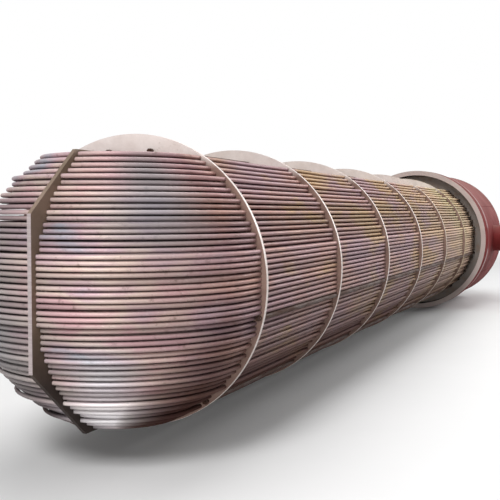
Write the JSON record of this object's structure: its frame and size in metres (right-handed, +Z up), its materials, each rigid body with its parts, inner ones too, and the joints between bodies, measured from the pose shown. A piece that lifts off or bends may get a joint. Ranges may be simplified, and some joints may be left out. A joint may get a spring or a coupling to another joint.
{
  "type": "u-tube heat exchanger bundle with channel",
  "caption": "U-tube heat exchanger bundle drawn from its shell: hairpin tubes through round support baffles, a tube sheet with a shell skirt, and a dished channel with side nozzles and a manway.",
  "frame": {"origin": "middle of the footprint at ground level, under the axis of the bundle", "axes": "+Y along the bundle from the bends to the channel, +X across it to the inlet nozzle, +Z up"},
  "size_m": [1.8, 8.2504, 1.4],
  "materials": {
    "baffle_steel": "bare plate with bright cut rims",
    "plate_steel": "bare plate, brown with mill scale",
    "tube_steel": "drawn tube with a light brown film",
    "tie_steel": "dull bar and sleeve",
    "rail_steel": "hot rolled bar",
    "sheet_steel": "turned forging",
    "primer": "matt red oxide primer",
    "stud_steel": "black bolting"
  },
  "bodies": {
    "root": {"baffle_1": "baffle_steel", "baffle_2": "baffle_steel", "baffle_3": "baffle_steel", "baffle_4": "baffle_steel", "baffle_5": "baffle_steel", "baffle_6": "baffle_steel", "bend_plate": "plate_steel", "tubes_01": "tube_steel", "tubes_02": "tube_steel", "tubes_03": "tube_steel", "tubes_04": "tube_steel", "tubes_05": "tube_steel", "tubes_06": "tube_steel", "tubes_07": "tube_steel", "tubes_08": "tube_steel", "tubes_09": "tube_steel", "tubes_10": "tube_steel", "tubes_11": "tube_steel", "tubes_12": "tube_steel", "tie_rods": "tie_steel", "tie_nuts": "tie_steel", "spacers": "tie_steel", "skid_left": "rail_steel", "skid_right": "rail_steel", "tube_sheet": "sheet_steel", "shell_skirt": "primer", "barrel_bottom": "primer", "barrel_top": "primer", "barrel_left": "primer", "barrel_right": "primer", "channel_head": "primer", "pass_partition": "rail_steel", "inlet_nozzle": "primer", "outlet_nozzle": "primer", "manway_neck": "primer", "manway_cover": "primer", "manway_studs": "stud_steel"}
  },
  "joints": []
}
